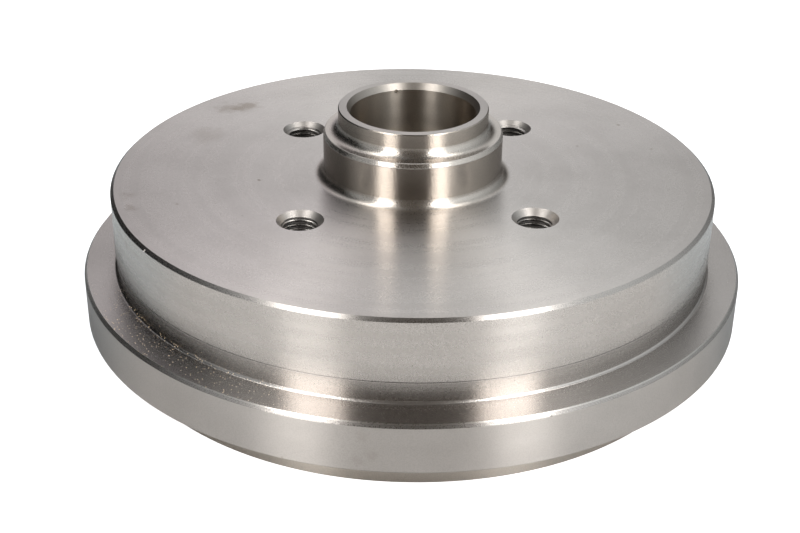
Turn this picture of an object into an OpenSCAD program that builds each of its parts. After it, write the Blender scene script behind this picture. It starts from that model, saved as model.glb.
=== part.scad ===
// Rear brake drum turned in one piece with its wheel hub.
//
// The drum stands on its open end: z = 0 is the end of the lip, and the wheel face and the hub
// look up. The whole body is one revolved section, cast in iron and turned on every outer face,
// with the wheel bolt holes drilled, countersunk and tapped through the web.

/* [Wheel face] */
// Diameter of the round wall, which is the drum's outside between the wheel face and the flange
wall_d = 191.6; // [189:0.1:196]
// Radial width of the chamfer around the wheel face
face_chamfer_w = 1.2; // [0.4:0.1:2.5]
// Height of the chamfer around the wheel face
face_chamfer_h = 0.8; // [0.4:0.1:2.5]
// Thickness of the web between the wheel face and the shoe cavity
web_t = 8; // [6:0.5:10]
// Thickness of the web where it backs the wheel bolts
pad_t = 12; // [10.5:0.5:15]
// Width of iron left around the bolt holes by the thick part of the web
pad_margin = 7; // [4:0.5:12]

/* [Wheel bolts] */
// Number of wheel bolt holes
bolt_count = 4; // [3:1:6]
// Diameter of the circle through the bolt holes
bolt_circle_d = 100; // [98:0.5:114.5]
// Bore of the bolt holes, before the thread is cut
bolt_bore_d = 10.5; // [9:0.1:12.5]
// Diameter of the countersink's mouth on the wheel face
bolt_mouth_d = 14.4; // [13:0.1:17]
// Full angle of the countersink
bolt_mouth_angle = 90; // [60:5:120]

/* [Rim] */
// Diameter of the braking surface that the shoes press on
shoe_d = 180; // [176:0.25:184]
// Height of the round wall between the wheel face and the flange
wall_h = 26.5; // [20:0.1:36]
// Diameter of the heavy flange around the open end
flange_d = 212; // [204:0.5:224]
// Thickness of the flange along the axis
flange_t = 15.5; // [8:0.1:24]
// Radial width of the chamfer on the flange's upper edge
flange_chamfer_w = 0.9; // [0.3:0.1:3]
// Height of the chamfer on the flange's upper edge
flange_chamfer_h = 1.1; // [0.3:0.1:3]
// Small chamfer on the flange's lower edge
flange_edge = 0.3; // [0.2:0.1:2]
// Fillet between the wall and the flange
ledge_fillet_r = 1; // [0.4:0.1:3]
// Distance below the wheel face at which the deeper cut of the wall's foot begins
cut_drop = 20; // [8:0.5:23]
// Step by which the foot of the wall is cut deeper than the wall above it
cut_step = 0.12; // [0.05:0.01:0.5]

/* [Lip] */
// Diameter of the lip that runs in the backing plate's groove
lip_d = 192.6; // [189:0.1:198]
// Height of the lip below the flange
lip_h = 10.3; // [4:0.1:16]
// Chamfer on the lip's outer edge
lip_chamfer = 0.3; // [0.2:0.1:1.5]
// Fillet between the lip and the flange's underside
lip_fillet_r = 1; // [0.4:0.1:3]

/* [Shoe cavity] */
// Radial width of the lead-in at the mouth of the braking surface
lead_in_w = 1.2; // [0.4:0.1:2]
// Height of the lead-in at the mouth of the braking surface
lead_in_h = 2.5; // [1:0.1:6]
// Radial depth of the relief behind the braking surface
relief_depth = 0.8; // [0.3:0.1:2]
// Height of the relief behind the braking surface, from the web down
relief_h = 8; // [6:0.5:12]
// Fillet between the relief and the web
corner_r = 4; // [1:0.5:5]

/* [Hub outside] */
// Height of the hub above the wheel face
hub_h = 22.2; // [19:0.1:30]
// Diameter of the spigot that centres the wheel
spigot_d = 57; // [55.5:0.1:66]
// Height of the spigot's full diameter above the wheel face
spigot_h = 13.4; // [8:0.1:15]
// Radial width of the spigot's lead-in chamfer
spigot_lead_w = 0.5; // [0.3:0.1:1.2]
// Height of the spigot's lead-in chamfer
spigot_lead_h = 1.4; // [0.5:0.1:2.5]
// Fillet between the spigot and the wheel face
spigot_fillet_r = 3; // [0.5:0.1:6]
// Wall of the neck around the outer bearing seat
neck_wall = 3.8; // [3:0.05:4.2]
// Fillet between the neck and the spigot's shoulder
neck_fillet_r = 3; // [0.5:0.1:4]
// Chamfer on the neck's outer edge
neck_chamfer = 0.3; // [0.2:0.1:1]

/* [Bearing seats] */
// Diameter of the outer bearing's seat, which also holds the grease cap
outer_seat_d = 39.88; // [37:0.01:41]
// Depth of the outer seat from the top of the hub to its shoulder
outer_seat_depth = 18.2; // [14:0.1:22]
// Radial width of the lead-in at the top of the outer seat
seat_lead_w = 1.1; // [0.5:0.1:1.5]
// Height of the lead-in at the top of the outer seat
seat_lead_h = 2.1; // [0.5:0.1:4]
// Diameter of the bore between the two seats
middle_bore_d = 34.5; // [30:0.1:36.5]
// Diameter of the inner bearing's seat
inner_seat_d = 50.29; // [45:0.01:51.5]
// Depth of the inner seat from the end of the boss to its shoulder
inner_seat_depth = 20; // [14:0.1:24]
// Diameter of the grease seal's seat
seal_d = 52; // [51.6:0.1:56]
// Depth of the grease seal's seat
seal_depth = 8; // [4:0.1:12]

/* [Inner boss] */
// Distance from the wheel face to the end of the boss inside the drum
boss_drop = 40; // [36:0.5:44]
// Wall of the boss around the grease seal at its end
boss_wall = 7; // [5:0.5:9]
// Radial taper that the casting draft adds from the boss's end to its root
boss_draft = 1.2; // [0:0.1:2]
// Fillet between the boss and the web
boss_fillet_r = 5; // [1:0.5:6]
// Chamfer on the end of the boss
boss_chamfer = 1; // [0.5:0.1:2]

/* [Hidden] */
$fn = 180;

// Straight steps in each rounded corner of the section
corner_steps = 8;
// Distance by which a cutting shape runs past the face that it cuts
cut_over = 1;
full_turn = 360;

// Directions in the section, which has the wheel axis on its left
outward = 0;
upward = 90;
inward = 180;
downward = 270;

// Heights above the end of the lip
flange_top = lip_h + flange_t;
face_z = flange_top + wall_h;
shoulder_z = face_z + spigot_h + spigot_lead_h;
hub_top = face_z + hub_h;
web_under = face_z - web_t;
pad_under = face_z - pad_t;
boss_end = face_z - boss_drop;
relief_end = web_under - relief_h;

// Radii of the section
wall_r = wall_d / 2;
wall_foot_r = wall_r - cut_step;
flange_r = flange_d / 2;
lip_r = lip_d / 2;
shoe_r = shoe_d / 2;
relief_r = shoe_r + relief_depth;
spigot_r = spigot_d / 2;
shoulder_r = spigot_r - spigot_lead_w;
outer_seat_r = outer_seat_d / 2;
neck_r = outer_seat_r + neck_wall;
inner_seat_r = inner_seat_d / 2;
seal_r = seal_d / 2;
boss_end_r = seal_r + boss_wall;
boss_root_r = boss_end_r + boss_draft;
bolt_circle_r = bolt_circle_d / 2;
pad_r = bolt_circle_r + bolt_bore_d / 2 + pad_margin;

// The neck's fillet ends on the flat of the shoulder, never past it
neck_fillet = min(neck_fillet_r, shoulder_r - neck_r);

// Depth of the countersink, from its mouth, its bore and its angle
bolt_mouth_depth = (bolt_mouth_d - bolt_bore_d) / 2 / tan(bolt_mouth_angle / 2);

// Points of a rounded corner about a centre, from one angle to another
function corner(centre, r, from, to) = [
    for (i = [0 : corner_steps])
        let (angle = from + (to - from) * i / corner_steps)
        centre + r * [cos(angle), sin(angle)]
];

// Hub from the lead-in of its bore, over the neck and the shoulder, to the spigot's foot
function hub_outline() = concat(
    [
        [outer_seat_r + seat_lead_w, hub_top],
        [neck_r - neck_chamfer, hub_top],
        [neck_r, hub_top - neck_chamfer],
    ],
    corner([neck_r + neck_fillet, shoulder_z + neck_fillet], neck_fillet, inward, downward),
    [
        [shoulder_r, shoulder_z],
        [spigot_r, face_z + spigot_h],
    ],
    corner([spigot_r + spigot_fillet_r, face_z + spigot_fillet_r], spigot_fillet_r, inward, downward)
);

// Wheel face, wall with its two turning cuts, flange and lip
function rim_outline() = concat(
    [
        [wall_r - face_chamfer_w, face_z],
        [wall_r, face_z - face_chamfer_h],
        [wall_r, face_z - cut_drop],
        [wall_foot_r, face_z - cut_drop - cut_step],
    ],
    corner(
        [wall_foot_r + ledge_fillet_r, flange_top + ledge_fillet_r],
        ledge_fillet_r, inward, downward
    ),
    [
        [flange_r - flange_chamfer_w, flange_top],
        [flange_r, flange_top - flange_chamfer_h],
        [flange_r, lip_h + flange_edge],
        [flange_r - flange_edge, lip_h],
    ],
    corner([lip_r + lip_fillet_r, lip_h - lip_fillet_r], lip_fillet_r, upward, inward),
    [
        [lip_r, lip_chamfer],
        [lip_r - lip_chamfer, 0],
    ]
);

// Braking surface with its lead-in and relief, the web's underside and the thick pad
function cavity_outline() = concat(
    [
        [shoe_r + lead_in_w, 0],
        [shoe_r, lead_in_h],
        [shoe_r, relief_end - relief_depth],
        [relief_r, relief_end],
    ],
    corner([relief_r - corner_r, web_under - corner_r], corner_r, outward, upward),
    [
        [pad_r + pad_t - web_t, web_under],
        [pad_r, pad_under],
    ]
);

// Boss inside the drum and the stepped bore through it, back up to the lead-in
function bore_outline() = concat(
    corner(
        [boss_root_r + boss_fillet_r, pad_under - boss_fillet_r],
        boss_fillet_r, upward, inward
    ),
    [
        [boss_end_r, boss_end + boss_chamfer],
        [boss_end_r - boss_chamfer, boss_end],
        [seal_r, boss_end],
        [seal_r, boss_end + seal_depth],
        [inner_seat_r, boss_end + seal_depth],
        [inner_seat_r, boss_end + inner_seat_depth],
        [middle_bore_d / 2, boss_end + inner_seat_depth],
        [middle_bore_d / 2, hub_top - outer_seat_depth],
        [outer_seat_r, hub_top - outer_seat_depth],
        [outer_seat_r, hub_top - seat_lead_h],
    ]
);

module turned_body() {
    rotate_extrude()
        polygon(concat(hub_outline(), rim_outline(), cavity_outline(), bore_outline()));
}

// One wheel bolt hole on the z axis, cut down from the wheel face
module bolt_hole() {
    mouth_slope = (bolt_mouth_d - bolt_bore_d) / 2 / bolt_mouth_depth;
    translate([0, 0, -pad_t - cut_over])
        cylinder(h = pad_t + 2 * cut_over, d = bolt_bore_d);
    translate([0, 0, -bolt_mouth_depth])
        cylinder(
            h = bolt_mouth_depth + cut_over,
            d1 = bolt_bore_d,
            d2 = bolt_mouth_d + 2 * cut_over * mouth_slope
        );
}

// Calls its child once for each wheel bolt, half a pitch away from the x axis
module at_each_bolt() {
    pitch = full_turn / bolt_count;
    for (i = [0 : bolt_count - 1])
        rotate([0, 0, (i + 0.5) * pitch])
            translate([bolt_circle_r, 0, face_z])
                children();
}

module brake_drum() {
    color("silver")
        difference() {
            turned_body();
            at_each_bolt() bolt_hole();
        }
}

brake_drum();
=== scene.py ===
"""Brake drum turned in one piece with its wheel hub, on a plain pale floor in a soft studio.

The whole file is laid out as an add-on and run as a script. Lengths are metres, in the frame of
the packed CAD model: z = 0 is the end of the lip, and the hub looks up.
"""

import math
from functools import partialmethod
from typing import NamedTuple

import bmesh
import bpy
from bpy.props import FloatProperty, FloatVectorProperty, IntProperty, PointerProperty
from mathutils import Matrix, Vector


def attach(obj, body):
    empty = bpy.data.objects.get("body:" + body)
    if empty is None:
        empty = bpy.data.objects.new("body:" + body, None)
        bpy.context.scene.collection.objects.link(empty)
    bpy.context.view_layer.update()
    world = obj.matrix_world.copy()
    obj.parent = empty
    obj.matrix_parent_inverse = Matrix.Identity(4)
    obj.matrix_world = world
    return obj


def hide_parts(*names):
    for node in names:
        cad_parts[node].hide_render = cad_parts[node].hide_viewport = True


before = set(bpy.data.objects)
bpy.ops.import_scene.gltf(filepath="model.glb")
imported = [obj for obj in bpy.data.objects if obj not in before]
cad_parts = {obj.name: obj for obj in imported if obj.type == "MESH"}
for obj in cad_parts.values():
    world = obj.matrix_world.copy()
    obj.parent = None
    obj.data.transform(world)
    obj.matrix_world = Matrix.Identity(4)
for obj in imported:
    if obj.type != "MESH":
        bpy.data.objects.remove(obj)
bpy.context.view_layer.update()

bl_info = {
    "name": "Brake drum",
    "version": (1, 0, 0),
    "blender": (4, 5, 0),
    "location": "View3D > Sidebar > Brake drum",
    "description": "Builds a brake drum turned in one piece with its wheel hub, and a studio",
    "category": "Object",
}

MM = 0.001
BODY = "root"
CAD_NODE = "brake_drum"


class Surface(NamedTuple):
    """How one kind of the iron's surface looks."""

    name: str
    roughness: float
    anisotropy: float = 0.93
    marks: float = 0.5
    mottle: float = 0.5
    speckle: float = 0.35
    shade: float = 1.0
    edge_tint: float = 0.75
    dust: float = 0.0
    warmth: float = 0.0


# The drum's finishes, in the order of its material slots, each with its name, its roughness
# and, where it isn't the usual one, its anisotropy
SURFACES = {
    "turned": Surface("Turned iron", 0.26, marks=0.8, edge_tint=0.9),
    # Fine lines: their colour is darkened as painted shade, in the wall's cut line, the flange's
    # scores and its lower edge
    "line": Surface("Fine lines", 0.4, marks=0.3, speckle=0.2, shade=0.45),
    "foot": Surface("Foot iron", 0.25, marks=1.2, mottle=0.6, speckle=0.4, shade=0.96, dust=0.04),
    "seam": Surface("Seam at the foot", 0.22, 0.6, speckle=0.8, shade=0.95, dust=0.8),
    "ledge": Surface("Ledge iron", 0.24, marks=0.7, speckle=0.8, shade=0.97, dust=0.4),
    "chamfered": Surface("Chamfered iron", 0.26, 0.85, marks=0.1, speckle=0.0),
    "faced": Surface("Faced iron", 0.27, marks=0.35, speckle=0.25, shade=1.05),
    # The rim's colour is darkened as painted shade, standing in for the shaded floor close by
    # that it reflects
    "rim": Surface("Rim iron", 0.32, 0.95, marks=0.8, speckle=0.4, shade=0.88),
    "lip": Surface("Lip iron", 0.34, 0.9, marks=0.6, speckle=0.3, shade=0.95, warmth=0.45),
    "fine": Surface("Fine turned iron", 0.22, speckle=1.9, shade=0.9, warmth=0.5),
    "blended": Surface("Blended iron", 0.26, 0.85, speckle=0.8, warmth=0.3),
    "worn_edge": Surface("Worn edges", 0.6, 0.0, speckle=0.3, shade=0.75),
    "end_faced": Surface("End-faced iron", 0.45, 0.5, marks=0.8, speckle=0.8, shade=0.91),
    "lead_in": Surface("Lead-ins", 0.4, 0.45, speckle=0.3, shade=0.7, warmth=0.3),
    "bored": Surface("Bored iron", 0.30, 0.9, marks=1.0, speckle=0.8, shade=0.9, warmth=0.65),
    "cast": Surface("Casting skin", 0.62),
    "countersunk": Surface("Countersunk iron", 0.42, 0.0, marks=0.4, speckle=0.5, shade=0.85),
    # The thread's crests are a shade lighter, as a painted highlight, and its grooves much
    # darker, as painted shade
    "tapped": Surface("Tapped iron", 0.26, 0.0, marks=0.3, speckle=0.3, shade=1.05),
    "groove": Surface("Thread grooves", 0.5, 0.0, marks=0.3, speckle=0.5, shade=0.25),
}
FINISH_KEYS = tuple(SURFACES)


def size(name, millimetres, description):
    """A length property, given in millimetres."""
    return FloatProperty(
        name=name, description=description, default=millimetres * MM, min=0.0,
        unit="LENGTH", subtype="DISTANCE", precision=5,
    )


def angle(name, degrees, description):
    """An angle property, given in degrees."""
    return FloatProperty(
        name=name, description=description, default=math.radians(degrees),
        unit="ROTATION", subtype="ANGLE",
    )


def share(name, value, description, top=1.0):
    """A plain number from 0 to top."""
    return FloatProperty(name=name, description=description, default=value, min=0.0, max=top)


def colour(name, value, description):
    """A colour property, in linear light."""
    return FloatVectorProperty(
        name=name, description=description, default=value, size=3, min=0.0, max=1.0,
        subtype="COLOR",
    )


class RimSizes(bpy.types.PropertyGroup):
    """Wheel face, round wall, flange and lip."""

    wall_d: size("Wall diameter", 191.6, "Diameter of the round wall under the wheel face")
    face_chamfer_w: size("Face chamfer width", 1.1, "Radial width of the wheel face's chamfer")
    face_chamfer_h: size("Face chamfer height", 0.95, "Height of the wheel face's chamfer")
    wall_h: size("Wall height", 26.5, "Height of the wall between the wheel face and the flange")
    cut_drop: size("Second cut", 20.0, "Distance below the face where the foot's cut begins")
    cut_step: size("Cut step", 0.12, "Step by which the wall's foot is cut deeper")
    foot_taper: size("Foot taper", 0.2, "Radial taper of the foot's cut towards the ledge")
    ledge_fillet_r: size("Ledge fillet", 1.0, "Fillet between the wall and the flange")
    flange_d: size("Flange diameter", 212.0, "Diameter of the heavy flange")
    flange_t: size("Flange thickness", 15.5, "Thickness of the flange along the axis")
    flange_chamfer_w: size("Flange chamfer width", 0.9, "Radial width of the flange's chamfer")
    flange_chamfer_h: size("Flange chamfer height", 1.1, "Height of the flange's chamfer")
    flange_edge: size("Flange lower edge", 0.3, "Small chamfer on the flange's lower edge")
    lip_d: size("Lip diameter", 192.6, "Diameter of the lip at the open end")
    lip_h: size("Lip height", 10.3, "Height of the lip below the flange")
    lip_chamfer: size("Lip chamfer", 0.3, "Chamfer on the lip's outer edge")
    lip_fillet_r: size("Lip fillet", 1.0, "Fillet between the lip and the flange")


class HubSizes(bpy.types.PropertyGroup):
    """Hub above the wheel face, and the stepped bore through it."""

    hub_h: size("Hub height", 22.2, "Height of the hub above the wheel face")
    spigot_d: size("Spigot diameter", 57.0, "Diameter of the spigot that centres the wheel")
    spigot_h: size("Spigot height", 13.4, "Height of the spigot's full diameter")
    spigot_lead_w: size("Spigot lead-in width", 0.5, "Radial width of the spigot's lead-in")
    spigot_lead_h: size("Spigot lead-in height", 1.4, "Height of the spigot's lead-in")
    spigot_fillet_r: size("Spigot fillet", 3.0, "Fillet between the spigot and the wheel face")
    neck_wall: size("Neck wall", 3.8, "Wall of the neck around the outer bearing seat")
    neck_fillet_r: size("Neck fillet", 3.0, "Fillet between the neck and the shoulder")
    neck_chamfer: size("Neck chamfer", 0.3, "Chamfer on the neck's outer edge")
    outer_seat_d: size("Outer seat diameter", 39.88, "Diameter of the outer bearing's seat")
    outer_seat_depth: size("Outer seat depth", 18.2, "Depth of the outer bearing's seat")
    seat_lead_w: size("Seat lead-in width", 1.1, "Radial width of the outer seat's lead-in")
    seat_lead_h: size("Seat lead-in height", 2.1, "Height of the outer seat's lead-in")
    middle_bore_d: size("Middle bore", 34.5, "Diameter of the bore between the two seats")
    inner_seat_d: size("Inner seat diameter", 50.29, "Diameter of the inner bearing's seat")
    inner_seat_depth: size("Inner seat depth", 20.0, "Depth of the inner bearing's seat")
    seal_d: size("Seal seat diameter", 52.0, "Diameter of the grease seal's seat")
    seal_depth: size("Seal seat depth", 8.0, "Depth of the grease seal's seat")


class CavitySizes(bpy.types.PropertyGroup):
    """Shoe cavity and the boss inside the drum."""

    shoe_d: size("Braking surface", 180.0, "Diameter that the shoes press on")
    lead_in_w: size("Lead-in width", 1.2, "Radial width of the lead-in at the mouth")
    lead_in_h: size("Lead-in height", 2.5, "Height of the lead-in at the mouth")
    relief_depth: size("Relief depth", 0.8, "Radial depth of the relief behind the shoes")
    relief_h: size("Relief height", 8.0, "Height of the relief, from the web down")
    corner_r: size("Corner radius", 4.0, "Fillet between the relief and the web")
    web_t: size("Web thickness", 8.0, "Thickness of the web under the wheel face")
    pad_t: size("Pad thickness", 12.0, "Thickness of the web behind the wheel bolts")
    pad_margin: size("Pad margin", 7.0, "Iron left around the bolt holes by the pad")
    boss_drop: size("Boss depth", 40.0, "Distance from the wheel face to the boss's end")
    boss_wall: size("Boss wall", 7.0, "Wall of the boss around the grease seal")
    boss_draft: size("Boss draft", 1.2, "Radial taper of the boss from the casting")
    boss_fillet_r: size("Boss fillet", 5.0, "Fillet between the boss and the web")
    boss_chamfer: size("Boss chamfer", 1.0, "Chamfer on the boss's end")


class BoltHoleSizes(bpy.types.PropertyGroup):
    """Countersunk and tapped wheel bolt holes."""

    count: IntProperty(name="Bolt holes", description="Number of holes", default=4, min=1, max=8)
    circle_d: size("Bolt circle", 100.0, "Diameter of the circle through the holes")
    bore_d: size("Bore", 10.5, "Minor diameter of the thread")
    thread_d: size("Thread diameter", 12.0, "Major diameter of the thread")
    pitch: size("Thread pitch", 1.5, "Pitch of the thread")
    mouth_d: size("Countersink", 14.4, "Diameter of the countersink's mouth")


class IronFinish(bpy.types.PropertyGroup):
    """Colours and finishes of the bare iron."""

    iron: colour("Turned iron", (0.515, 0.483, 0.458), "Colour of the bare turned iron")
    worn: colour("Dull iron", (0.41, 0.383, 0.36), "Colour where the iron has dulled")
    warm: FloatVectorProperty(
        name="Warm tint", description="Tint of the warmest surfaces", default=(1.05, 0.98, 0.86),
        size=3, min=0.0, max=2.0,
    )
    skin: colour("Casting skin", (0.16, 0.15, 0.145), "Colour of the cast surfaces inside")
    dark_skin: colour("Dark skin", (0.09, 0.075, 0.065), "Colour of the casting's dark parts")
    pore: colour("Pores", (0.08, 0.07, 0.06), "Colour of the small dark pores")
    stain: colour("Stains", (0.25, 0.21, 0.17), "Colour of the stains on the face and the wall")
    dust: colour("Dust", (0.8, 0.6, 0.4), "Colour of the specks of dust")
    feed: size("Feed", 0.55, "Spacing of the turning marks that can be seen")


IronFinish.__annotations__.update({
    f"{finish_key}_roughness": share(
        f"{surface.name} roughness", surface.roughness, f"Roughness of the finish {finish_key}"
    )
    for finish_key, surface in SURFACES.items()
})


class StudioSettings(bpy.types.PropertyGroup):
    """Camera at the photograph's view, lamps, floor and surroundings."""

    camera_azimuth: angle("Camera azimuth", -93.12, "Side of the drum that the camera is on")
    camera_elevation: angle("Camera elevation", 24.103, "Height of the camera over the face")
    camera_distance: size("Camera distance", 461.5, "From the middle of the wheel face")
    camera_pan: angle("Camera pan", 0.442, "Turn of the camera away from the drum's axis")
    camera_tilt: angle("Camera tilt", 3.834, "Tilt of the camera away from the wheel face")
    camera_roll: angle("Camera roll", 0.833, "Roll of the camera")
    camera_lens: FloatProperty(
        name="Lens", description="Focal length on a 36 mm sensor", default=64.39, unit="CAMERA",
    )
    strip_distance: size("Strip distance", 800.0, "From the drum to the middle of each lamp")
    strip_swing: angle("Strip swing", 0.8, "Turn of both strips about the drum's axis")
    strip_width: size("Strip width", 248.0, "Width of each strip lamp")
    strip_power: FloatProperty(
        name="Strip power", description="Power of a square metre of strip lamp", default=17.0,
        min=0.0, unit="POWER",
    )
    backdrop_level: share("Backdrop", 1.36, "Brightness of the backdrop behind the drum", top=4.0)
    panel_level: share("Right panel", 1.65, "Brightness of the panel on the right", top=4.0)
    dark_level: share("Dark sides", 0.01, "Brightness of the dark sides of the studio")
    strip_tint: colour("Strip tint", (1.0, 0.985, 0.96), "Colour of the strip lamps")
    pale_tint: colour("Pale tint", (0.965, 0.985, 1.0), "Colour of the backdrop and the panel")
    dark_tint: colour("Dark tint", (1.0, 0.86, 0.72), "Colour of the dark sides")
    side_tint: colour("Side tint", (0.93, 0.98, 1.0), "Colour of the light from both sides")
    back_tint: colour("Back tint", (0.99, 0.96, 1.0), "Colour of the backdrop's left half")
    floor: colour("Floor", (0.725, 0.725, 0.725), "Colour of the floor")
    # The floor beside and close behind the drum is painted darker: painted shade and a painted
    # shadow
    floor_aside: colour("Floor painted side shade", (0.64, 0.68, 0.70), "Colour of the floor beside the drum")
    floor_close: colour("Floor painted shadow", (0.42, 0.44, 0.46), "Colour of the floor close by")
    floor_size: size("Floor size", 1200.0, "Side of the floor")


SETTINGS = {
    "drum_rim": RimSizes,
    "drum_hub": HubSizes,
    "drum_cavity": CavitySizes,
    "drum_bolts": BoltHoleSizes,
    "drum_finish": IronFinish,
    "drum_studio": StudioSettings,
}


# The section that the drum is turned to


OUTWARD, UPWARD, INWARD, DOWNWARD = 0.0, 0.5 * math.pi, math.pi, 1.5 * math.pi
CORNER_STEPS = 8
# A run longer than this is held by a loop close to each of its ends
LONG_RUN = 1.0 * MM
EDGE_LOOP = 0.25 * MM
# Width of the worn bands on the hub's two outer edges
WORN_EDGE_W = 0.16 * MM
# Fine lines along the flange's chamfer, at these shares of its width
SCORES = (0.42, 0.66, 0.9)
SCORE_DEPTH = 0.035 * MM
SCORE_HALF_WIDTH = 0.08 * MM
# The fine line on the wall just above its second cut
CUT_LINE_DEPTH = 0.06 * MM
CUT_LINE_HALF_WIDTH = 0.15 * MM
CUT_LINE_RISE = 3 * CUT_LINE_HALF_WIDTH

# Distances within which a face counts as lying on an edge of the section
EDGE = 0.05 * MM
CLOSE_EDGE = 0.005 * MM
CREST_MARGIN = 0.16 * MM
# Upward parts of a face's normal, at least: of a level face, of a countersink, of a sloped
# face outside the drum and of a face that isn't an underside; and between which a fillet lies
LEVEL = 0.999
SINK_SLOPE = 0.5
OUTER_SLOPE = 0.03
UNDERSIDE = -0.9
FILLET_SLOPES = (0.08, 0.9995)
# Radii of the ledge's fillet from the wall inwards, within which those sloped faces lie
OUTER_REACH = 3


def corner(centre, radius, start, end):
    """Points of a rounded corner in the section, from one direction to another."""
    points = []
    for i in range(CORNER_STEPS + 1):
        turn = start + (end - start) * i / CORNER_STEPS
        points.append(
            (centre[0] + radius * math.cos(turn), centre[1] + radius * math.sin(turn))
        )
    return points


def scored(start, end):
    """Points from start to end along a chamfer, with fine lines left by the tool."""
    start, end = Vector(start), Vector(end)
    along = (end - start).normalized()
    inward = Vector((along.y, -along.x))
    points = [tuple(start)]
    for score in SCORES:
        middle = start.lerp(end, score)
        points += [
            tuple(middle - along * SCORE_HALF_WIDTH), tuple(middle + inward * SCORE_DEPTH),
            tuple(middle + along * SCORE_HALF_WIDTH),
        ]
    points.append(tuple(end))
    return points


class Section:
    """Heights and radii of the drum's section, and its outline."""

    def __init__(self, rim, hub, cavity, bolts):
        self.rim, self.hub, self.cavity, self.bolts = rim, hub, cavity, bolts
        # Each diameter's radius, under its name with r in the place of d
        for group in (rim, hub, cavity, bolts):
            for name in type(group).__annotations__:
                if name.endswith("_d"):
                    setattr(self, name[:-1] + "r", getattr(group, name) / 2)
        self.flange_top = rim.lip_h + rim.flange_t
        self.face_z = self.flange_top + rim.wall_h
        self.hub_top = self.face_z + hub.hub_h
        self.shoulder_z = self.face_z + hub.spigot_h + hub.spigot_lead_h
        self.web_under = self.face_z - cavity.web_t
        self.pad_under = self.face_z - cavity.pad_t
        self.boss_end = self.face_z - cavity.boss_drop
        self.relief_end = self.web_under - cavity.relief_h
        self.wall_foot_r = self.wall_r - rim.cut_step
        self.relief_r = self.shoe_r + cavity.relief_depth
        self.shoulder_r = self.spigot_r - hub.spigot_lead_w
        self.neck_r = self.outer_seat_r + hub.neck_wall
        self.boss_end_r = self.seal_r + cavity.boss_wall
        self.boss_root_r = self.boss_end_r + cavity.boss_draft
        self.pad_r = self.circle_r + self.bore_r + cavity.pad_margin

    def hub_outline(self):
        """From the lead-in of the bore, over the neck and the shoulder, to the spigot's foot."""
        hub = self.hub
        neck_fillet = min(hub.neck_fillet_r, self.shoulder_r - self.neck_r)
        foot = hub.spigot_fillet_r
        return [
            (self.outer_seat_r + hub.seat_lead_w, self.hub_top),
            (self.neck_r - hub.neck_chamfer, self.hub_top),
            (self.neck_r, self.hub_top - hub.neck_chamfer),
            *corner(
                (self.neck_r + neck_fillet, self.shoulder_z + neck_fillet),
                neck_fillet, INWARD, DOWNWARD,
            ),
            (self.shoulder_r - WORN_EDGE_W, self.shoulder_z),
            (self.shoulder_r, self.shoulder_z - WORN_EDGE_W),
            (self.spigot_r, self.face_z + hub.spigot_h),
            (self.spigot_r, self.face_z + hub.spigot_h - WORN_EDGE_W),
            *corner((self.spigot_r + foot, self.face_z + foot), foot, INWARD, DOWNWARD),
        ]

    def rim_outline(self):
        """Wheel face, wall with its two turning cuts, flange and lip."""
        rim = self.rim
        ledge = rim.ledge_fillet_r
        cut_z = self.face_z - rim.cut_drop
        low_r = self.wall_foot_r - rim.foot_taper
        line_z = cut_z + CUT_LINE_RISE
        return [
            (self.wall_r - rim.face_chamfer_w, self.face_z),
            (self.wall_r, self.face_z - rim.face_chamfer_h),
            (self.wall_r, line_z + CUT_LINE_HALF_WIDTH),
            (self.wall_r - CUT_LINE_DEPTH, line_z),
            (self.wall_r, line_z - CUT_LINE_HALF_WIDTH),
            (self.wall_r, cut_z),
            (self.wall_foot_r, cut_z - rim.cut_step),
            *corner((low_r + ledge, self.flange_top + ledge), ledge, INWARD, DOWNWARD),
            *scored(
                (self.flange_r - rim.flange_chamfer_w, self.flange_top),
                (self.flange_r, self.flange_top - rim.flange_chamfer_h),
            ),
            (self.flange_r, rim.lip_h + rim.flange_edge),
            (self.flange_r - rim.flange_edge, rim.lip_h),
            *corner(
                (self.lip_r + rim.lip_fillet_r, rim.lip_h - rim.lip_fillet_r),
                rim.lip_fillet_r, UPWARD, INWARD,
            ),
            (self.lip_r, rim.lip_chamfer),
            (self.lip_r - rim.lip_chamfer, 0.0),
        ]

    def cavity_outline(self):
        """Braking surface with its lead-in and relief, the web's underside and the pad."""
        cavity = self.cavity
        bend = cavity.corner_r
        return [
            (self.shoe_r + cavity.lead_in_w, 0.0),
            (self.shoe_r, cavity.lead_in_h),
            (self.shoe_r, self.relief_end - cavity.relief_depth),
            (self.relief_r, self.relief_end),
            *corner((self.relief_r - bend, self.web_under - bend), bend, OUTWARD, UPWARD),
            (self.pad_r + cavity.pad_t - cavity.web_t, self.web_under),
            (self.pad_r, self.pad_under),
        ]

    def bore_outline(self):
        """Boss inside the drum, and the stepped bore back up to its lead-in."""
        hub, cavity = self.hub, self.cavity
        bend = cavity.boss_fillet_r
        seal_end = self.boss_end + hub.seal_depth
        inner_end = self.boss_end + hub.inner_seat_depth
        outer_end = self.hub_top - hub.outer_seat_depth
        return [
            *corner((self.boss_root_r + bend, self.pad_under - bend), bend, UPWARD, INWARD),
            (self.boss_end_r, self.boss_end + cavity.boss_chamfer),
            (self.boss_end_r - cavity.boss_chamfer, self.boss_end),
            (self.seal_r, self.boss_end),
            (self.seal_r, seal_end),
            (self.inner_seat_r, seal_end),
            (self.inner_seat_r, inner_end),
            (self.middle_bore_r, inner_end),
            (self.middle_bore_r, outer_end),
            (self.outer_seat_r, outer_end),
            (self.outer_seat_r, self.hub_top - hub.seat_lead_h),
        ]

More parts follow.
